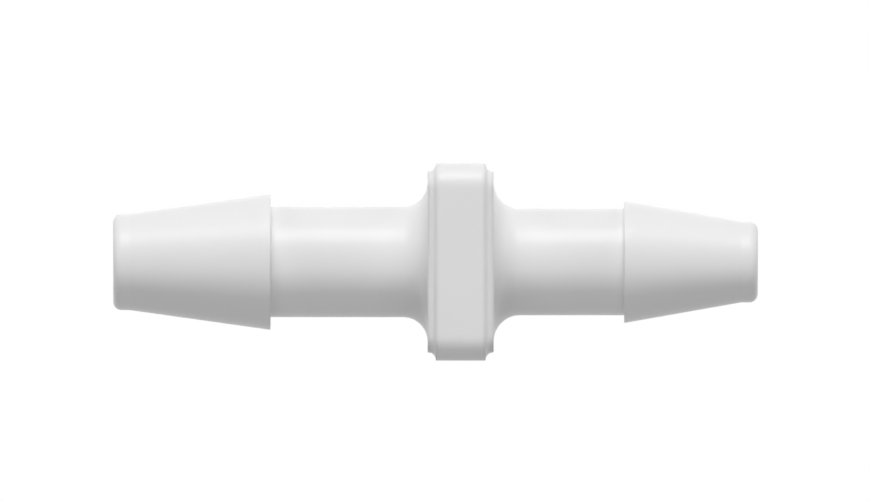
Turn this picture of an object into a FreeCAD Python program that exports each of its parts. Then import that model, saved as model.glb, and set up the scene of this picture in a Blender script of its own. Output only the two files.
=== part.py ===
import FreeCAD, Part
import os
import Sketcher

# Reducing hose nipple, moulded in one piece, in millimetres.
# The flow axis runs along X: the large end points to -X and the small end to +X, and a square
# collar with rounded corners stands between them. The nipple lies on the collar's lower flat,
# so the origin is the middle of that flat, and +Z is up.

PART_LABEL = "nipple_body"
PARTS_FOLDER = "parts"

# The way that each end points along the flow axis.
ENDS = {"large": "-", "small": "+"}

SIZE_ROWS = (
    ("collar_flats", 12.0, "collar from flat to flat"),
    ("collar_thickness", 4.02, "collar along the flow axis"),
    ("collar_corner", 1.5, "radius of the collar's four corners"),
    ("cove_radius", 0.49, "hollow along both rims of the collar"),
    ("large_stem_diameter", 6.71, "stem behind the large barb"),
    ("large_stem_length", 9.56, "collar face to the step of the large barb"),
    ("large_root_fillet", 1.5, "hollow between the large stem and the collar"),
    ("large_barb_diameter", 8.26, "gripping edge of the large barb"),
    ("large_barb_length", 9.58, "step of the large barb to its tip face"),
    ("large_tip_diameter", 5.85, "parallel tip of the large barb"),
    ("large_tip_land", 1.0, "length of the large tip"),
    ("large_tip_edge", 0.5, "rounding of the large tip's outer edge"),
    ("large_bore", 4.2, "bore of the large end"),
    ("small_stem_diameter", 6.48, "stem behind the small barb"),
    ("small_stem_length", 7.94, "collar face to the step of the small barb"),
    ("small_root_fillet", 1.6, "hollow between the small stem and the collar"),
    ("small_barb_diameter", 7.43, "gripping edge of the small barb"),
    ("small_barb_length", 8.14, "step of the small barb to its tip face"),
    ("small_tip_diameter", 4.92, "parallel tip of the small barb"),
    ("small_tip_land", 1.03, "length of the small tip"),
    ("small_tip_edge", 0.53, "rounding of the small tip's outer edge"),
    ("small_bore", 3.0, "bore of the small end"),
    ("bore_taper_length", 0.8, "cone that joins the bores"),
    ("mouth_chamfer", 0.15, "chamfer at both mouths of the bore"),
)

# Rules in terms of the sheet. Lengths along the flow axis count from the collar's middle.
ON_AXIS = "0"
COLLAR_HALF = "sizes.collar_flats / 2"
COLLAR_FACE = "sizes.collar_thickness / 2"

# The shares of a wall at its tip face that the rim's rounding and the mouth's chamfer may take,
# and the share of the collar's face beside a stem that the root fillet may take.
RIM_SHARE = 0.7
MOUTH_SHARE = 0.2
ROOT_SHARE = 0.9

FULL_TURN = 360
SAME_PLACE = Part.Precision.confusion()

# A new feature names its edges afresh the first times that it is worked out. A later feature
# points to them by name, so it is made once they have settled.
ROUNDS_TO_SETTLE = 3


class Point:
    """How a sketch numbers the points of a line or a circle, and its own origin."""

    START = 1
    END = 2
    CENTRE = 3
    ORIGIN = (-1, START)


class Axis:
    """How a sketch numbers its own axes."""

    LEVEL = -1
    UPRIGHT = -2


def half(size):
    """Rule for half of a size."""
    return f"sizes.{size} / 2"


def step_reach(end):
    """Rule for the reach of a barb's step."""
    return f"{COLLAR_FACE} + sizes.{end}_stem_length"


def tip_reach(end):
    """Rule for the reach of a tip face."""
    return f"{step_reach(end)} + sizes.{end}_barb_length"


def towards(end, reach):
    """Rule for the place of a reach along the flow axis, on the side of one end."""
    return f"{ENDS[end]}({reach})"


def tip_wall(end):
    """Rule for the wall between the bore and the outside at a tip."""
    return f"(sizes.{end}_tip_diameter - sizes.{end}_bore) / 2"


def root_room(end):
    """Rule for the flat of the collar's face beside a stem."""
    return f"({COLLAR_HALF} - sizes.cove_radius - sizes.{end}_stem_diameter / 2)"


def make_sheet(doc):
    """Write the driving dimensions to the document's sheet."""
    sheet = doc.addObject("Spreadsheet::Sheet", "sizes")
    for row, (alias, size, meaning) in enumerate(SIZE_ROWS, start=1):
        sheet.set(f"A{row}", meaning)
        sheet.set(f"B{row}", str(size))
        sheet.setAlias(f"B{row}", alias)
    doc.recompute()


def number(item, rule):
    """What a rule comes to with the sheet's present sizes."""
    return float(item.evalExpression(rule))


def origin_plane(body, role):
    """One of the body's own origin planes."""
    return next(item for item in body.Origin.OriginFeatures if item.Role == role)


def new_sketch(body, name, role):
    """An empty sketch on one of the body's origin planes."""
    sketch = body.newObject("Sketcher::SketchObject", name)
    sketch.AttachmentSupport = [(origin_plane(body, role), "")]
    sketch.MapMode = "FlatFace"
    return sketch


def bind(sketch, name, kind, place, rule):
    """Add a dimension with a name of its own and bind it to its rule."""
    index = sketch.addConstraint(Sketcher.Constraint(kind, *place, number(sketch, rule)))
    sketch.renameConstraint(index, name)
    sketch.setExpression(f"Constraints.{name}", rule)


def hold_point(sketch, name, point, rules):
    """Hold a point of the sketch at the place that its X rule and its Y rule give."""
    for way, rule, axis in zip("XY", rules, (Axis.UPRIGHT, Axis.LEVEL)):
        if rule == ON_AXIS:
            sketch.addConstraint(Sketcher.Constraint("PointOnObject", *point, axis))
        else:
            bind(sketch, name + way, "Distance" + way, (*Point.ORIGIN, *point), rule)


def draw_outline(sketch, corners):
    """Draw a closed outline of straight lines through named corners, each held by its rules."""
    places = [FreeCAD.Vector(number(sketch, x), number(sketch, y), 0) for x, y in corners.values()]
    for start, end in zip(places, places[1:] + places[:1]):
        sketch.addGeometry(Part.LineSegment(start, end), False)
    for line, (name, rules) in enumerate(corners.items()):
        before = (line - 1) % len(corners)
        joint = Sketcher.Constraint("Coincident", before, Point.END, line, Point.START)
        sketch.addConstraint(joint)
        hold_point(sketch, name, (line, Point.START), rules)


def settle(feature, adds):
    """Work the feature out and make sure that it added material, or took some away."""
    for _ in range(ROUNDS_TO_SETTLE):
        feature.touch()
        feature.Document.recompute()
    base = feature.BaseFeature
    gained = feature.Shape.Volume - (base.Shape.Volume if base else 0)
    if gained == 0 or (gained > 0) != adds:
        raise ValueError(f"{feature.Name} changed the volume by {gained}")


def edge_names(feature, wanted):
    """Names of the feature's edges that pass a test."""
    edges = enumerate(feature.Shape.Edges, start=1)
    return [f"Edge{index}" for index, edge in edges if wanted(edge)]


def edges_at(feature, place_rule):
    """Names of the edges whose middle lies at one place along the flow axis."""
    place = number(feature, place_rule)
    return edge_names(feature, lambda edge: abs(edge.CenterOfMass.x - place) < SAME_PLACE)


def rings_at(feature, place_rule, radius_rule):
    """Names of the circles round the flow axis at one place, with one radius."""
    centre = FreeCAD.Vector(number(feature, place_rule), 0, 0)
    radius = number(feature, radius_rule)

    def is_ring(edge):
        if not edge.CenterOfMass.isEqual(centre, SAME_PLACE):
            return False
        return abs(edge.Curve.Radius - radius) < SAME_PLACE

    return edge_names(feature, is_ring)


def add_collar(body):
    """The square collar, centred on the flow axis, with its corners rounded."""
    outline = new_sketch(body, "collar_outline", "YZ_Plane")
    draw_outline(outline, {
        "lower_front": (f"-{COLLAR_HALF}", f"-{COLLAR_HALF}"),
        "lower_back": (COLLAR_HALF, f"-{COLLAR_HALF}"),
        "upper_back": (COLLAR_HALF, COLLAR_HALF),
        "upper_front": (f"-{COLLAR_HALF}", COLLAR_HALF),
    })
    collar = body.newObject("PartDesign::Pad", "collar")
    collar.Profile = outline
    collar.SideType = "Symmetric"
    collar.setExpression("Length", "sizes.collar_thickness")
    settle(collar, adds=True)
    corners = edges_at(collar, ON_AXIS)
    add_fillet(body, "collar_corners", corners, "sizes.collar_corner", adds=False)


def add_coves(body):
    """A hollow along each rim of the collar, round all its flats and corners."""
    collar = body.Tip
    section = new_sketch(body, "cove_section", "XZ_Plane")
    centre = FreeCAD.Vector(number(body, COLLAR_FACE), number(body, COLLAR_HALF), 0)
    radius = number(body, "sizes.cove_radius")
    section.addGeometry(Part.Circle(centre, FreeCAD.Vector(0, 0, 1), radius), False)
    hold_point(section, "centre", (0, Point.CENTRE), (COLLAR_FACE, COLLAR_HALF))
    bind(section, "radius", "Radius", (0,), "sizes.cove_radius")
    cove = body.newObject("PartDesign::SubtractivePipe", "cove")
    cove.Profile = section
    cove.Spine = (collar, edges_at(collar, COLLAR_FACE))
    settle(cove, adds=False)
    coves = body.newObject("PartDesign::Mirrored", "coves")
    coves.Originals = [cove]
    coves.MirrorPlane = (origin_plane(body, "YZ_Plane"), [""])
    body.Tip = coves
    settle(coves, adds=False)


def add_fillet(body, name, edges, radius_rule, adds):
    """Round some edges of the body as it is so far."""
    base = body.Tip
    fillet = body.newObject("PartDesign::Fillet", name)
    fillet.Base = (base, edges)
    fillet.setExpression("Radius", radius_rule)
    settle(fillet, adds)


def turn_profile(body, kind, name, corners):
    """Turn a half-profile once round the flow axis, as a Revolution or a Groove."""
    profile = new_sketch(body, f"{name}_profile", "XZ_Plane")
    draw_outline(profile, corners)
    turned = body.newObject(f"PartDesign::{kind}", name)
    turned.Profile = profile
    turned.ReferenceAxis = (profile, ["H_Axis"])
    turned.Angle = FULL_TURN
    settle(turned, adds=kind == "Revolution")


def add_end(body, end):
    """One end: the stem, the barb's square step, its cone and the parallel tip."""
    step = towards(end, step_reach(end))
    land = towards(end, f"{tip_reach(end)} - sizes.{end}_tip_land")
    tip = towards(end, tip_reach(end))
    stem_radius = half(f"{end}_stem_diameter")
    tip_radius = half(f"{end}_tip_diameter")
    turn_profile(body, "Revolution", f"{end}_end", {
        "middle": (ON_AXIS, ON_AXIS),
        "root": (ON_AXIS, stem_radius),
        "step_foot": (step, stem_radius),
        "barb_edge": (step, half(f"{end}_barb_diameter")),
        "cone_end": (land, tip_radius),
        "tip_rim": (tip, tip_radius),
        "tip_centre": (tip, ON_AXIS),
    })
    root = rings_at(body.Tip, towards(end, COLLAR_FACE), stem_radius)
    root_radius = f"min(sizes.{end}_root_fillet; {ROOT_SHARE} * {root_room(end)})"
    add_fillet(body, f"{end}_root", root, root_radius, adds=True)
    rim = rings_at(body.Tip, tip, tip_radius)
    rim_radius = f"min(sizes.{end}_tip_edge; {RIM_SHARE} * {tip_wall(end)})"
    add_fillet(body, f"{end}_rim", rim, rim_radius, adds=False)


def add_bore(body):
    """The bore: wide through the large end, then a cone inside the collar, then narrow."""
    large_tip = towards("large", tip_reach("large"))
    small_tip = towards("small", tip_reach("small"))
    large_radius = half("large_bore")
    small_radius = half("small_bore")
    turn_profile(body, "Groove", "bore", {
        "large_centre": (large_tip, ON_AXIS),
        "large_mouth": (large_tip, large_radius),
        "cone_start": (f"-{half('bore_taper_length')}", large_radius),
        "cone_end": (half("bore_taper_length"), small_radius),
        "small_mouth": (small_tip, small_radius),
        "small_centre": (small_tip, ON_AXIS),
    })
    mouths = rings_at(body.Tip, large_tip, large_radius)
    mouths += rings_at(body.Tip, small_tip, small_radius)
    bored = body.Tip
    chamfer = body.newObject("PartDesign::Chamfer", "mouths")
    chamfer.Base = (bored, mouths)
    limits = "; ".join(f"{MOUTH_SHARE} * {tip_wall(end)}" for end in ENDS)
    chamfer.setExpression("Size", f"min(sizes.mouth_chamfer; {limits})")
    settle(chamfer, adds=False)


def make_nipple(doc):
    """The whole moulding, lifted so that the collar's lower flat lies at height zero."""
    body = doc.addObject("PartDesign::Body", PART_LABEL)
    body.Label = PART_LABEL
    add_collar(body)
    add_coves(body)
    for end in ENDS:
        add_end(body, end)
    add_bore(body)
    body.setExpression("Placement.Base.z", COLLAR_HALF)
    doc.recompute()
    return body


def check(doc, body):
    """Stop if a feature failed or the solid isn't sound."""
    failed = [item.Name for item in doc.Objects if {"Invalid", "Error"} & set(item.State)]
    if failed:
        raise RuntimeError(f"These features failed: {failed}")
    if body.Shape.isNull() or not body.Shape.isValid() or len(body.Shape.Solids) != 1:
        raise RuntimeError(f"{body.Label} isn't one sound solid")


def main():
    doc = FreeCAD.newDocument("reducing_hose_nipple")
    make_sheet(doc)
    body = make_nipple(doc)
    check(doc, body)
    os.makedirs(PARTS_FOLDER, exist_ok=True)
    body.Shape.exportStep(os.path.join(PARTS_FOLDER, f"{body.Label}.step"))


main()
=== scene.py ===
import math

import bmesh
import bpy
from bpy.props import FloatProperty, FloatVectorProperty, IntProperty, PointerProperty
from mathutils import Euler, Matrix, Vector


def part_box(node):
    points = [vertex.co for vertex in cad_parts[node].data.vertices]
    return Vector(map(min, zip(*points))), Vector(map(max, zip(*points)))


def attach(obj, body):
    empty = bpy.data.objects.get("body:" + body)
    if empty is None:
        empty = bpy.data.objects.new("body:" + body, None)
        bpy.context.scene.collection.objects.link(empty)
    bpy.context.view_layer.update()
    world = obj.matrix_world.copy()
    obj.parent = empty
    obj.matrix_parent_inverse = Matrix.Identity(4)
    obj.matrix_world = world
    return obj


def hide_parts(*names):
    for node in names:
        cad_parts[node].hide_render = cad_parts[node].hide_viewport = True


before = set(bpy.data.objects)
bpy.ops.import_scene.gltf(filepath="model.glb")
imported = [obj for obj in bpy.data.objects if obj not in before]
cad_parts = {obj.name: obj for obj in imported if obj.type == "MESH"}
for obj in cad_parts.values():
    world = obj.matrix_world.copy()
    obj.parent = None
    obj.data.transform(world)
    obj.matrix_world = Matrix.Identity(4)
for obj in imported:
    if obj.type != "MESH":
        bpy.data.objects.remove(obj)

# A reducing hose nipple, moulded in one piece of white plastic, and the studio that shows it.
# The flow axis runs along X, the large end points to -X, and the collar's lower flat lies on
# the floor at height zero. Lengths are in metres.

bl_info = {
    "name": "Reducing hose nipple",
    "version": (1, 0, 0),
    "blender": (4, 5, 0),
    "location": "3D View > Sidebar > Hose Nipple",
    "description": "A moulded nipple that joins two sizes of hose, and its studio",
    "category": "Add Mesh",
}

MM = 0.001
BODY_NODE = "nipple_body"
CAD_LOW, CAD_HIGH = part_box(BODY_NODE)

# Points of the mesh nearer to each other than this are one point.
SAME_PLACE = 0.002 * MM

QUARTER_TURN = math.pi / 2


def length(name, millimetres, description):
    """A length that the user may change, with its default in millimetres."""
    return FloatProperty(
        name=name, description=description, default=millimetres * MM, precision=5,
        subtype="DISTANCE", unit="LENGTH",
    )


def angle(name, degrees, description):
    """An angle that the user may change, with its default in degrees."""
    return FloatProperty(
        name=name, description=description, default=math.radians(degrees),
        subtype="ANGLE", unit="ROTATION",
    )


def power(name, watts, description):
    """The power of a lamp that the user may change."""
    return FloatProperty(
        name=name, description=description, default=watts, min=0, precision=4, unit="POWER")


def linear(hex_colour):
    """The linear colour of an sRGB hex value."""
    shades = [int(hex_colour[start:start + 2], 16) / 255 for start in (0, 2, 4)]
    return [
        shade / 12.92 if shade <= 0.04045 else ((shade + 0.055) / 1.055) ** 2.4
        for shade in shades
    ]


def colour(name, hex_colour, description):
    """A colour that the user may change."""
    return FloatVectorProperty(
        name=name, description=description, default=linear(hex_colour), min=0, max=1,
        subtype="COLOR",
    )


class CollarSizes(bpy.types.PropertyGroup):
    """Sizes of the square collar"""

    collar_flats: length(
        "Collar flats", (CAD_HIGH.z - CAD_LOW.z) / MM, "Collar from flat to flat")
    collar_thickness: length("Collar thickness", 4.02, "Collar along the flow axis")
    collar_corner: length("Collar corner", 1.5, "Radius of the collar's four corners")
    cove_radius: length("Cove radius", 0.49, "Hollow along both rims of the collar")


class LargeEnd(bpy.types.PropertyGroup):
    """Sizes of the end for the larger hose"""

    reach: length("Reach", -CAD_LOW.x / MM, "Collar's middle to the tip face")
    stem_diameter: length("Stem diameter", 6.71, "Stem behind the barb")
    stem_length: length("Stem length", 9.56, "Collar's face to the barb's step")
    root_fillet: length("Root fillet", 1.5, "Hollow between the stem and the collar")
    barb_diameter: length("Barb diameter", 8.26, "Gripping edge of the barb")
    tip_diameter: length("Tip diameter", 5.85, "Parallel tip")
    tip_land: length("Tip land", 1.0, "Length of the parallel tip")
    tip_edge: length("Tip edge", 0.5, "Rounding of the tip's outer edge")
    bore: length("Bore", 4.2, "Bore of this end")


class SmallEnd(bpy.types.PropertyGroup):
    """Sizes of the end for the smaller hose"""

    reach: length("Reach", CAD_HIGH.x / MM, "Collar's middle to the tip face")
    stem_diameter: length("Stem diameter", 6.48, "Stem behind the barb")
    stem_length: length("Stem length", 7.94, "Collar's face to the barb's step")
    root_fillet: length("Root fillet", 1.6, "Hollow between the stem and the collar")
    barb_diameter: length("Barb diameter", 7.43, "Gripping edge of the barb")
    tip_diameter: length("Tip diameter", 4.92, "Parallel tip")
    tip_land: length("Tip land", 1.03, "Length of the parallel tip")
    tip_edge: length("Tip edge", 0.53, "Rounding of the tip's outer edge")
    bore: length("Bore", 3.0, "Bore of this end")


class MouldEdges(bpy.types.PropertyGroup):
    """Small sizes that the mould gives to every edge, and how finely the mesh follows them"""

    collar_edge: length("Collar edge", 0.05, "Rounding of the collar's edges beside its coves")
    barb_edge: length("Barb edge", 0.06, "Rounding of the barbs' gripping edges")
    step_foot: length("Step foot", 0.04, "Hollow between a barb's step and its stem")
    crease: length("Crease", 0.6, "Softening where a cone meets a parallel run")
    mouth_chamfer: length("Mouth chamfer", 0.15, "Chamfer at both mouths of the bore")
    mouth_edge: length("Mouth edge", 0.05, "Rounding of the chamfers' edges")
    bore_taper_length: length("Bore taper length", 0.8, "Cone that joins the bores")
    ring_gap: length("Ring gap", 0.5, "Widest gap between two rings of the mesh")
    quarter_steps: IntProperty(
        name="Quarter steps", description="Corners of a ring in a quarter of a turn",
        default=40, min=8)


class Plastic(bpy.types.PropertyGroup):
    """Look of the moulded plastic"""

    shade: colour("Colour", "E9E9E9", "Colour of the plastic")
    dull_shade: colour("Dull colour", "E6E6E6", "Colour where the melt flowed slowly")
    roughness: FloatProperty(
        name="Roughness", description="Roughness of the satin skin", default=0.31, min=0, max=1)
    roughness_spread: FloatProperty(
        name="Roughness spread", description="How much rougher or smoother the grain makes it",
        default=0.019, min=0, max=1)
    ior: FloatProperty(name="IOR", description="Refractive index", default=1.49, min=1)
    grain: length("Grain", 0.18, "Width of the grain that the mould prints on the skin")
    grain_depth: length("Grain depth", 0.0003, "Depth of the grain")
    flow: length("Flow", 3.5, "Width of the soft marks that the melt leaves")
    flow_depth: length("Flow depth", 0.001, "Depth of the soft marks")
    rim_softness: length("Rim softness", 0.45, "How far light softens the rims of the collar")
    edge_softness: length("Edge softness", 0.15, "How far light softens the other edges")


class Studio(bpy.types.PropertyGroup):
    """Floor, lamps and camera"""

    floor: colour("Floor", "E6E6E6", "Colour of the floor")
    floor_size: length("Floor size", 900, "Side of the floor")
    light_below: FloatProperty(
        name="Light below", description="Even light from below the horizon", default=0.212, min=0)
    lamp_distance: length("Lamp distance", 360, "Distance of the lamps from the nipple")
    key_height: angle("Key height", 55.7, "Height of the long lamp over the horizon")
    key_power: power("Key power", 0.695, "Power of the long lamp")
    key_width: length("Key width", 420, "Length of the long lamp")
    key_depth: length("Key depth", 16, "Depth of the long lamp")
    table_height: angle("Table height", -14.5, "Height of the light that the table throws back")
    table_power: power("Table power", 0.72, "Power of the light that the table throws back")
    table_width: length("Table width", 900, "Width of the part of the table that throws light")
    table_depth: length("Table depth", 180, "Depth of the part of the table that throws light")
    side_height: angle("Side height", 29, "Height of the two side lamps over the horizon")
    side_turn: angle("Side turn", 97, "Angle of the side lamps from the front")
    side_power: power("Side power", 0.38, "Power of each side lamp")
    side_width: length("Side width", 180, "Width of the side lamps")
    side_depth: length("Side depth", 180, "Depth of the side lamps")
    back_height: angle("Back height", 160, "Height of the lamp behind, counted over the top")
    back_power: power("Back power", 0.7, "Power of the lamp behind")
    back_width: length("Back width", 300, "Width of the lamp behind")
    back_depth: length("Back depth", 200, "Depth of the lamp behind")
    box_height: angle("Box height", 58.7, "Height of the soft box over the horizon")
    box_power: power("Box power", 0.4, "Power of the soft box, the one lamp that gloss shows")
    box_width: length("Box width", 210, "Width of the soft box")
    box_depth: length("Box depth", 185, "Depth of the soft box")
    view_width: length("View width", 52.955, "What the camera sees from left to right")
    view_right: length("View right", -1.561, "Middle of the view, right of the collar's middle")
    view_up: length("View up", 6.703, "Middle of the view, over the floor")


class Nipple(bpy.types.PropertyGroup):
    """All sizes and colours of the nipple and its studio"""

    collar: PointerProperty(type=CollarSizes)
    large_end: PointerProperty(type=LargeEnd)
    small_end: PointerProperty(type=SmallEnd)
    edges: PointerProperty(type=MouldEdges)
    plastic: PointerProperty(type=Plastic)
    studio: PointerProperty(type=Studio)


def add_node(tree, kind, inputs=None, **settings):
    """Add a node with its settings, and give each input a value or a link from an output."""
    node = tree.nodes.new(kind)
    for name, setting in settings.items():
        setattr(node, name, setting)
    for key, source in (inputs or {}).items():
        if isinstance(source, bpy.types.NodeSocket):
            tree.links.new(source, node.inputs[key])
        else:
            node.inputs[key].default_value = source
    return node


def emptied_tree(owner):
    """The tree of a material or a world, without the nodes that it comes with."""
    owner.use_nodes = True
    owner.node_tree.nodes.clear()
    return owner.node_tree


def add_object(name, data):
    """A new object in the scene."""
    item = bpy.data.objects.new(name, data)
    bpy.context.collection.objects.link(item)
    return item


# The half-profile of one end, from the middle of the collar's flat to the middle of the bore.
# Each rule is a name, an operation and its terms: numbers, inputs or earlier rules.
PROFILE_RULES = (
    ("collar_face", "MULTIPLY", "collar_thickness", 0.5),
    ("collar_flat", "MULTIPLY", "collar_flats", 0.5),
    ("cove_start", "SUBTRACT", "collar_face", "cove_radius"),
    ("cove_floor", "SUBTRACT", "collar_flat", "cove_radius"),
    ("cove_hollow", "SUBTRACT", "cove_radius", "collar_edge"),
    ("stem_radius", "MULTIPLY", "stem_diameter", 0.5),
    ("barb_step", "ADD", "collar_face", "stem_length"),
    ("barb_radius", "MULTIPLY", "barb_diameter", 0.5),
    ("land_start", "SUBTRACT", "reach", "tip_land"),
    ("tip_radius", "MULTIPLY", "tip_diameter", 0.5),
    ("bore_radius", "MULTIPLY", "bore", 0.5),
    ("mouth_radius", "ADD", "bore_radius", "mouth_chamfer"),
    ("mouth_depth", "SUBTRACT", "reach", "mouth_chamfer"),
    ("taper_start", "MULTIPLY", "bore_taper_length", 0.5),
)

# Each corner of the half-profile: its place along the axis, its radius, its rounding, and 1
# where it belongs to the square collar or 0 where it is turned.
PROFILE_CORNERS = (
    (0.0, "collar_flat", 0.0, 1.0),
    ("cove_start", "collar_flat", "collar_edge", 1.0),
    ("cove_start", "cove_floor", "cove_hollow", 1.0),
    ("collar_face", "cove_floor", "collar_edge", 1.0),
    ("collar_face", "stem_radius", "root_fillet", 0.0),
    ("barb_step", "stem_radius", "step_foot", 0.0),
    ("barb_step", "barb_radius", "barb_edge", 0.0),
    ("land_start", "tip_radius", "crease", 0.0),
    ("reach", "tip_radius", "tip_edge", 0.0),
    ("reach", "mouth_radius", "mouth_edge", 0.0),
    ("mouth_depth", "bore_radius", "mouth_edge", 0.0),
    ("taper_start", "bore_radius", "crease", 0.0),
    (0.0, "taper_middle", 0.0, 0.0),
)

# An arc of the profile gets this many points, and so many more for each metre of its radius.
ARC_POINTS = 5
ARC_POINTS_PER_METRE = 10 / MM

# An end's mesh starts as a flat sheet, with one row of points for each ring. These rules give
# a point's ring, its step along that ring, and the quarters of a turn that the step stands at.
# The steps of a turned ring are even. Those of a square ring all lie on its corners, so that
# one face spans each flat. A ring's last point closes it.
STEP_RULES = (
    ("ring_points", "MULTIPLY_ADD", "quarter_steps", 4.0, 1.0),
    ("index_middle", "ADD", "index", 0.5),
    ("rings_before", "DIVIDE", "index_middle", "ring_points"),
    ("ring", "FLOOR", "rings_before"),
    ("ring_start", "MULTIPLY", "ring", "ring_points"),
    ("step", "SUBTRACT", "index", "ring_start"),
    ("step_middle", "ADD", "step", 0.5),
    ("even_turn", "DIVIDE", "step_middle", "quarter_steps"),
    ("quarter", "FLOOR", "even_turn"),
    ("quarter_start", "MULTIPLY", "quarter", "quarter_steps"),
    ("corner_step", "SUBTRACT", "step", "quarter_start"),
    ("corner_steps", "SUBTRACT", "quarter_steps", 1.0),
    ("corner_share", "DIVIDE", "corner_step", "corner_steps"),
    ("cornered_turn", "ADD", "quarter", "corner_share"),
)

# A ring is the outline at one distance from a square core with a corner in each quarter, and
# the core of a turned ring is a point. So each point stands at the end of an arm that swings
# about its corner of the core.
ARM_RULES = (
    ("flat", "MULTIPLY", "collar_flats", 0.5),
    ("flat_core", "SUBTRACT", "flat", "collar_corner"),
    ("core", "MULTIPLY", "flat_core", "squareness"),
    ("arm_length", "SUBTRACT", "radius", "core"),
    ("arm_angle", "MULTIPLY", "turn", QUARTER_TURN),
    ("corner_distance", "MULTIPLY", "core", math.sqrt(2)),
    ("corner_turn", "ADD", "quarter", 0.5),
    ("corner_angle", "MULTIPLY", "corner_turn", QUARTER_TURN),
)

# This share of two diameters added up is their mean radius.
MEAN_RADIUS_OF_TWO = 0.25

# What both ends share: the radius where their bores meet, and the height of the flow axis.
JOINT_RULES = (
    ("both_bores", "ADD", "large_end_bore", "small_end_bore"),
    ("taper_middle", "MULTIPLY", "both_bores", MEAN_RADIUS_OF_TWO),
    ("axis_height", "MULTIPLY", "collar_flats", 0.5),
)


def add_inputs(tree, names):
    """Give a tree its inputs, each with the kind of socket that its value needs."""
    for name in names:
        kind = "NodeSocketInt" if name == "quarter_steps" else "NodeSocketFloat"
        tree.interface.new_socket(name, in_out="INPUT", socket_type=kind)
    sockets = add_node(tree, "NodeGroupInput").outputs
    return {name: sockets[name] for name in names}


def new_geometry_tree(name):
    """An empty tree that gives out one geometry."""
    tree = bpy.data.node_groups.new(name, "GeometryNodeTree")
    tree.interface.new_socket("Geometry", in_out="OUTPUT", socket_type="NodeSocketGeometry")
    return tree


def sizes_in(*groups):
    """Names of the sizes in some property groups, each once."""
    return list(dict.fromkeys(name for group in groups for name in group.__annotations__))


# What the trees of one end take. Both ends have sizes of the same names.
ONE_END_INPUTS = [*sizes_in(CollarSizes, LargeEnd, MouldEdges), "taper_middle"]


def follow_rules(tree, rules, known):
    """Work out what the rules say from what is known, and add it there under their names."""
    for name, operation, *terms in rules:
        inputs = {place: known.get(term, term) for place, term in enumerate(terms)}
        known[name] = add_node(tree, "ShaderNodeMath", inputs, operation=operation).outputs[0]


def profile_tree():
    """The rounded half-profile of one end as a curve, and how square each point's ring is."""
    tree = new_geometry_tree("half_profile")
    tree.interface.new_socket("squareness", in_out="OUTPUT", socket_type="NodeSocketFloat")
    known = add_inputs(tree, ONE_END_INPUTS)
    follow_rules(tree, PROFILE_RULES, known)
    index = add_node(tree, "GeometryNodeInputIndex").outputs[0]
    columns = []
    for column in zip(*PROFILE_CORNERS):
        choice = add_node(tree, "GeometryNodeIndexSwitch", {"Index": index}, data_type="FLOAT")
        while len(choice.index_switch_items) < len(column):
            choice.index_switch_items.new()
        for place, term in enumerate(column, start=1):
            if term in known:
                tree.links.new(known[term], choice.inputs[place])
            else:
                choice.inputs[place].default_value = term
        columns.append(choice.outputs[0])
    along, radius, rounding, squareness = columns
    corner = add_node(tree, "ShaderNodeCombineXYZ", {0: along, 1: radius})
    line = add_node(tree, "GeometryNodeMeshLine", {"Count": len(PROFILE_CORNERS)})
    curve = add_node(tree, "GeometryNodeMeshToCurve", {"Mesh": line.outputs[0]})
    placed = add_node(
        tree, "GeometryNodeSetPosition",
        {"Geometry": curve.outputs[0], "Position": corner.outputs[0]})
    marked = add_node(tree, "GeometryNodeCaptureAttribute", {"Geometry": placed.outputs[0]})
    marked.capture_items.new("FLOAT", "squareness")
    tree.links.new(squareness, marked.inputs["squareness"])
    points = add_node(
        tree, "ShaderNodeMath", {0: rounding, 1: ARC_POINTS_PER_METRE, 2: ARC_POINTS},
        operation="MULTIPLY_ADD")
    rounded = add_node(
        tree, "GeometryNodeFilletCurve",
        {"Curve": marked.outputs[0], "Count": points.outputs[0], "Radius": rounding,
         "Limit Radius": True},
        mode="POLY")
    place = add_node(tree, "GeometryNodeInputPosition").outputs[0]
    follower = add_node(tree, "ShaderNodeMath", {0: index, 1: 1.0}, operation="ADD")
    next_place = add_node(
        tree, "GeometryNodeFieldAtIndex", {"Index": follower.outputs[0], "Value": place},
        data_type="FLOAT_VECTOR", domain="POINT")
    gap = add_node(
        tree, "ShaderNodeVectorMath", {0: place, 1: next_place.outputs[0]}, operation="DISTANCE")
    cuts = add_node(
        tree, "ShaderNodeMath", {0: gap.outputs["Value"], 1: known["ring_gap"]},
        operation="DIVIDE")
    cut = add_node(
        tree, "GeometryNodeSubdivideCurve", {"Curve": rounded.outputs[0], "Cuts": cuts.outputs[0]})
    add_node(
        tree, "NodeGroupOutput",
        {"Geometry": cut.outputs[0], "squareness": marked.outputs["squareness"]})
    return tree


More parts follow.
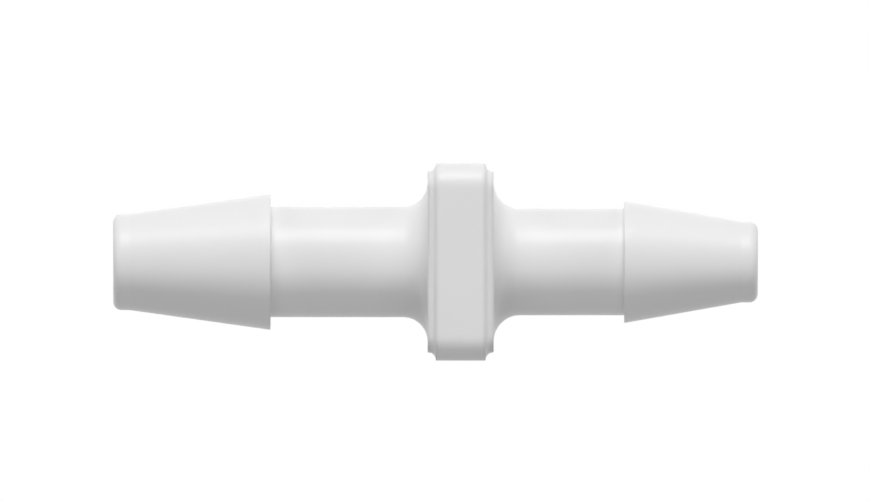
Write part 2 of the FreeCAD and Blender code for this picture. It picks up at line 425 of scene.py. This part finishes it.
def turned_end_tree(profile):
    """One end and its half of the collar: the half-profile taken once round the flow axis."""
    tree = new_geometry_tree("turned_end")
    known = add_inputs(tree, ONE_END_INPUTS)
    half = add_node(tree, "GeometryNodeGroup", node_tree=profile)
    for name in ONE_END_INPUTS:
        tree.links.new(known[name], half.inputs[name])
    profile_line = half.outputs["Geometry"]
    known["index"] = add_node(tree, "GeometryNodeInputIndex").outputs[0]
    follow_rules(tree, STEP_RULES, known)
    rings = add_node(
        tree, "GeometryNodeAttributeDomainSize", {"Geometry": profile_line},
        component="CURVE").outputs["Point Count"]
    sheet = add_node(
        tree, "GeometryNodeMeshGrid", {"Vertices X": rings, "Vertices Y": known["ring_points"]})
    place = add_node(tree, "GeometryNodeInputPosition").outputs[0]
    on_profile = add_node(
        tree, "GeometryNodeSampleIndex",
        {"Geometry": profile_line, "Value": place, "Index": known["ring"]},
        data_type="FLOAT_VECTOR", domain="POINT")
    known["squareness"] = add_node(
        tree, "GeometryNodeSampleIndex",
        {"Geometry": profile_line, "Value": half.outputs["squareness"], "Index": known["ring"]},
        data_type="FLOAT", domain="POINT").outputs[0]
    along, known["radius"], _ = add_node(
        tree, "ShaderNodeSeparateXYZ", {0: on_profile.outputs[0]}).outputs
    known["turn"] = add_node(
        tree, "ShaderNodeMix",
        {0: known["squareness"], 2: known["even_turn"], 3: known["cornered_turn"]},
        data_type="FLOAT").outputs[0]
    follow_rules(tree, ARM_RULES, known)
    arm = add_node(tree, "ShaderNodeCombineXYZ", {0: along, 1: known["arm_length"]})
    corner = add_node(tree, "ShaderNodeCombineXYZ", {1: known["corner_distance"]})
    swung = [
        add_node(
            tree, "ShaderNodeVectorRotate", {"Vector": still.outputs[0], "Angle": known[swing]},
            rotation_type="X_AXIS").outputs[0]
        for still, swing in ((arm, "arm_angle"), (corner, "corner_angle"))
    ]
    spot = add_node(tree, "ShaderNodeVectorMath", dict(enumerate(swung)), operation="ADD")
    turned = add_node(
        tree, "GeometryNodeSetPosition",
        {"Geometry": sheet.outputs["Mesh"], "Position": spot.outputs[0]})
    add_node(tree, "NodeGroupOutput", {"Geometry": turned.outputs[0]})
    return tree


def nipple_tree(plastic):
    """The whole moulding: both ends, joined at the collar's middle and lifted to the floor."""
    tree = new_geometry_tree("moulded_nipple")
    shared = sizes_in(CollarSizes, MouldEdges)
    own = {
        end: {name: f"{end}_{name}" for name in sizes_in(group)}
        for end, group in (("large_end", LargeEnd), ("small_end", SmallEnd))
    }
    known = add_inputs(tree, shared + [name for names in own.values() for name in names.values()])
    follow_rules(tree, JOINT_RULES, known)
    one_end = turned_end_tree(profile_tree())
    halves = {}
    for end, names in own.items():
        half = add_node(tree, "GeometryNodeGroup", node_tree=one_end)
        for name in [*shared, "taper_middle"]:
            tree.links.new(known[name], half.inputs[name])
        for name, full_name in names.items():
            tree.links.new(known[full_name], half.inputs[name])
        halves[end] = half.outputs[0]
    turned_back = add_node(
        tree, "GeometryNodeTransform", {"Geometry": halves["large_end"], "Scale": (-1, 1, 1)})
    outward = add_node(tree, "GeometryNodeFlipFaces", {"Mesh": turned_back.outputs[0]})
    both = add_node(tree, "GeometryNodeJoinGeometry", {0: halves["small_end"]})
    tree.links.new(outward.outputs[0], both.inputs[0])
    closed = add_node(
        tree, "GeometryNodeMergeByDistance",
        {"Geometry": both.outputs[0], "Distance": SAME_PLACE})
    lift = add_node(tree, "ShaderNodeCombineXYZ", {2: known["axis_height"]})
    lifted = add_node(
        tree, "GeometryNodeSetPosition", {"Geometry": closed.outputs[0], "Offset": lift.outputs[0]})
    smooth = add_node(
        tree, "GeometryNodeSetShadeSmooth", {"Geometry": lifted.outputs[0], "Shade Smooth": True})
    real = add_node(tree, "GeometryNodeRealizeInstances", {0: smooth.outputs[0]})
    dressed = add_node(
        tree, "GeometryNodeSetMaterial", {"Geometry": real.outputs[0], "Material": plastic})
    add_node(tree, "NodeGroupOutput", {"Geometry": dressed.outputs[0]})
    return tree


def grown_piece(name, tree, values):
    """A piece whose plain mesh is what a tree gives with these values."""
    maker = add_object(f"{name}_maker", bpy.data.meshes.new(f"{name}_maker"))
    modifier = maker.modifiers.new("shape", "NODES")
    modifier.node_group = tree
    for item in tree.interface.items_tree:
        if item.in_out == "INPUT":
            modifier[item.identifier] = values[item.name]
    shown = maker.evaluated_get(bpy.context.evaluated_depsgraph_get())
    mesh = bpy.data.meshes.new_from_object(shown)
    maker.modifiers.remove(modifier)
    bpy.data.objects.remove(maker)
    face_outward(mesh)
    mesh.name = name
    return add_object(name, mesh)


def face_outward(mesh):
    """Turn every face of a closed mesh outward."""
    shell = bmesh.new()
    shell.from_mesh(mesh)
    bmesh.ops.recalc_face_normals(shell, faces=shell.faces)
    shell.to_mesh(mesh)
    shell.free()


# Nearly all values of a noise lie between these two.
NOISE_LOW = 0.3
NOISE_HIGH = 0.7

# Rays that feel out how near an edge is. More of them make its softening smoother.
EDGE_RAYS = 8


def satin_polypropylene(look, collar_face):
    """White polypropylene, moulded against a finely eroded steel.

    It gives an even, slightly waxy white with a broad, weak highlight. The grain of the steel
    breaks the highlight up a little, and the melt leaves soft marks some millimetres wide.
    Light goes a little way into the plastic, so that the edges look softer than they are, most
    of all the rims of the collar, from its middle out to its faces.
    """
    material = bpy.data.materials.new("satin_moulded_polypropylene")
    tree = emptied_tree(material)
    where = add_node(tree, "ShaderNodeTexCoord").outputs["Object"]
    # The real grain is finer than a pixel, so it is drawn about three pixels wide.
    grain = add_node(
        tree, "ShaderNodeTexNoise", {"Vector": where, "Scale": 1 / look.grain, "Detail": 2.0})
    flow = add_node(
        tree, "ShaderNodeTexNoise", {"Vector": where, "Scale": 1 / look.flow, "Detail": 1.0})
    shade = add_node(
        tree, "ShaderNodeMix",
        {0: flow.outputs[0], 6: (*look.dull_shade, 1), 7: (*look.shade, 1)}, data_type="RGBA")
    roughness = add_node(
        tree, "ShaderNodeMapRange",
        {"Value": grain.outputs[0], "From Min": NOISE_LOW, "From Max": NOISE_HIGH,
         "To Min": look.roughness - look.roughness_spread,
         "To Max": look.roughness + look.roughness_spread})
    along = add_node(tree, "ShaderNodeSeparateXYZ", {0: where}).outputs[0]
    from_middle = add_node(tree, "ShaderNodeMath", {0: along}, operation="ABSOLUTE")
    softness = add_node(
        tree, "ShaderNodeMapRange",
        {"Value": from_middle.outputs[0], "From Min": collar_face,
         "From Max": collar_face + look.edge_softness, "To Min": look.rim_softness,
         "To Max": look.edge_softness})
    soft_edges = add_node(
        tree, "ShaderNodeBevel", {"Radius": softness.outputs[0]}, samples=EDGE_RAYS)
    soft_marks = add_node(
        tree, "ShaderNodeBump",
        {"Height": flow.outputs[0], "Distance": look.flow_depth,
         "Normal": soft_edges.outputs[0]})
    skin = add_node(
        tree, "ShaderNodeBump",
        {"Height": grain.outputs[0], "Distance": look.grain_depth, "Normal": soft_marks.outputs[0]})
    plastic = add_node(
        tree, "ShaderNodeBsdfPrincipled",
        {"Base Color": shade.outputs[2], "Roughness": roughness.outputs[0], "IOR": look.ior,
         "Normal": skin.outputs[0]})
    add_node(tree, "ShaderNodeOutputMaterial", {"Surface": plastic.outputs[0]})
    return material


class NIPPLE_OT_moulding(bpy.types.Operator):
    """Model the nipple, which is one moulding from tip to tip"""

    bl_idname = "nipple.moulding"
    bl_label = "Moulded Body"
    bl_options = {"REGISTER", "UNDO"}

    def execute(self, context):
        sizes = context.scene.nipple
        values = {}
        for group in (sizes.collar, sizes.edges):
            values.update({name: getattr(group, name) for name in group.__annotations__})
        for end in ("large_end", "small_end"):
            group = getattr(sizes, end)
            values.update({f"{end}_{name}": getattr(group, name) for name in group.__annotations__})
        plastic = satin_polypropylene(sizes.plastic, sizes.collar.collar_thickness / 2)
        piece = grown_piece("moulded_nipple", nipple_tree(plastic), values)
        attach(piece, "root")
        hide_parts(BODY_NODE)
        return {"FINISHED"}


def painted_floor(shade):
    """Matt painted board. It shows no gloss, only its pale colour and the soft shadow."""
    material = bpy.data.materials.new("matt_painted_board")
    tree = emptied_tree(material)
    board = add_node(tree, "ShaderNodeBsdfDiffuse", {"Color": (*shade, 1)})
    add_node(tree, "ShaderNodeOutputMaterial", {"Surface": board.outputs[0]})
    return material


def lay_floor(studio):
    """A pale square board at height zero, on which shadows fall.

    The light that it would throw back shines up through it, from the world and the table's
    lamp. So the collar's lower edge isn't black where it touches the board.
    """
    half = studio.floor_size / 2
    corners = [(-half, -half, 0), (half, -half, 0), (half, half, 0), (-half, half, 0)]
    mesh = bpy.data.meshes.new("studio_floor")
    mesh.from_pydata(corners, [], [(0, 1, 2, 3)])
    mesh.materials.append(painted_floor(studio.floor))
    floor = add_object("studio_floor", mesh)
    floor.visible_diffuse = False
    floor.visible_glossy = False
    floor.visible_shadow = False


def hang_lamp(studio, kind, turn=0.0):
    """A lamp at its height over the horizon, turned to the nipple. Over 90 degrees is behind it.

    The turn takes the lamp round the nipple, from the front towards the small end.
    """
    lamp = bpy.data.lights.new(f"{kind}_lamp", "AREA")
    lamp.shape = "RECTANGLE"
    lamp.energy = getattr(studio, f"{kind}_power")
    lamp.size = getattr(studio, f"{kind}_width")
    lamp.size_y = getattr(studio, f"{kind}_depth")
    height = getattr(studio, f"{kind}_height")
    aim = Euler((QUARTER_TURN - height, 0, turn))
    item = add_object(lamp.name, lamp)
    item.location = (CAD_LOW + CAD_HIGH) / 2
    item.location += studio.lamp_distance * (aim.to_matrix() @ Vector((0, 0, 1)))
    item.rotation_euler = aim
    return item


# The light from below fades out over this much height, each side of the horizon.
HORIZON_BLUR = 0.05


def light_world(studio):
    """Even light from below the horizon, in a world that camera and gloss see as plain white."""
    world = bpy.data.worlds.new("studio_world")
    tree = emptied_tree(world)
    path = add_node(tree, "ShaderNodeLightPath").outputs
    direction = add_node(tree, "ShaderNodeTexCoord").outputs["Generated"]
    height = add_node(tree, "ShaderNodeSeparateXYZ", {0: direction}).outputs[2]
    glow = add_node(
        tree, "ShaderNodeMapRange",
        {"Value": height, "From Min": -HORIZON_BLUR, "From Max": HORIZON_BLUR,
         "To Min": studio.light_below, "To Max": 0.0})
    glint = add_node(
        tree, "ShaderNodeMath",
        {0: path["Is Glossy Ray"], 1: path["Is Transmission Ray"]}, operation="MAXIMUM")
    white = add_node(
        tree, "ShaderNodeMath", {0: glint.outputs[0], 1: path["Is Camera Ray"]},
        operation="MAXIMUM")
    strength = add_node(
        tree, "ShaderNodeMix", {0: white.outputs[0], 2: glow.outputs[0], 3: 1.0},
        data_type="FLOAT")
    sky = add_node(
        tree, "ShaderNodeBackground", {"Color": (1, 1, 1, 1), "Strength": strength.outputs[0]})
    add_node(tree, "ShaderNodeOutputWorld", {"Surface": sky.outputs[0]})
    bpy.context.scene.world = world


def place_camera(studio):
    """A camera without perspective that looks at the nipple square from the front."""
    camera = bpy.data.cameras.new("studio_camera")
    camera.type = "ORTHO"
    camera.ortho_scale = studio.view_width
    item = add_object("studio_camera", camera)
    item.location = (studio.view_right, -studio.lamp_distance, studio.view_up)
    item.rotation_euler = (QUARTER_TURN, 0, 0)
    bpy.context.scene.camera = item


class NIPPLE_OT_studio(bpy.types.Operator):
    """Lay the floor, hang the lamps and place the camera"""

    bl_idname = "nipple.studio"
    bl_label = "Studio"
    bl_options = {"REGISTER", "UNDO"}

    def execute(self, context):
        studio = context.scene.nipple.studio
        lay_floor(studio)
        light_world(studio)
        lamps = [hang_lamp(studio, kind) for kind in ("key", "table", "back")]
        lamps += [hang_lamp(studio, "side", turn) for turn in (-studio.side_turn, studio.side_turn)]
        for lamp in lamps:
            lamp.visible_glossy = False
        hang_lamp(studio, "box")
        place_camera(studio)
        context.scene.view_settings.view_transform = "Standard"
        return {"FINISHED"}


class NIPPLE_PT_sidebar(bpy.types.Panel):
    """Sizes and colours of the nipple, and the buttons that make it"""

    bl_idname = "NIPPLE_PT_sidebar"
    bl_label = "Hose Nipple"
    bl_space_type = "VIEW_3D"
    bl_region_type = "UI"
    bl_category = "Hose Nipple"

    def draw(self, context):
        for group_name in Nipple.__annotations__:
            group = getattr(context.scene.nipple, group_name)
            box = self.layout.box()
            box.label(text=group_name.replace("_", " ").capitalize())
            for name in group.__annotations__:
                box.prop(group, name)
        for operator in OPERATORS:
            self.layout.operator(operator.bl_idname)


OPERATORS = (NIPPLE_OT_moulding, NIPPLE_OT_studio)
CLASSES = (
    CollarSizes, LargeEnd, SmallEnd, MouldEdges, Plastic, Studio, Nipple, *OPERATORS,
    NIPPLE_PT_sidebar,
)


def register():
    for item in CLASSES:
        bpy.utils.register_class(item)
    bpy.types.Scene.nipple = PointerProperty(type=Nipple)


def unregister():
    del bpy.types.Scene.nipple
    for item in reversed(CLASSES):
        bpy.utils.unregister_class(item)


def main():
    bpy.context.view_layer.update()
    register()
    bpy.ops.nipple.moulding()
    bpy.ops.nipple.studio()


if __name__ == "__main__":
    main()
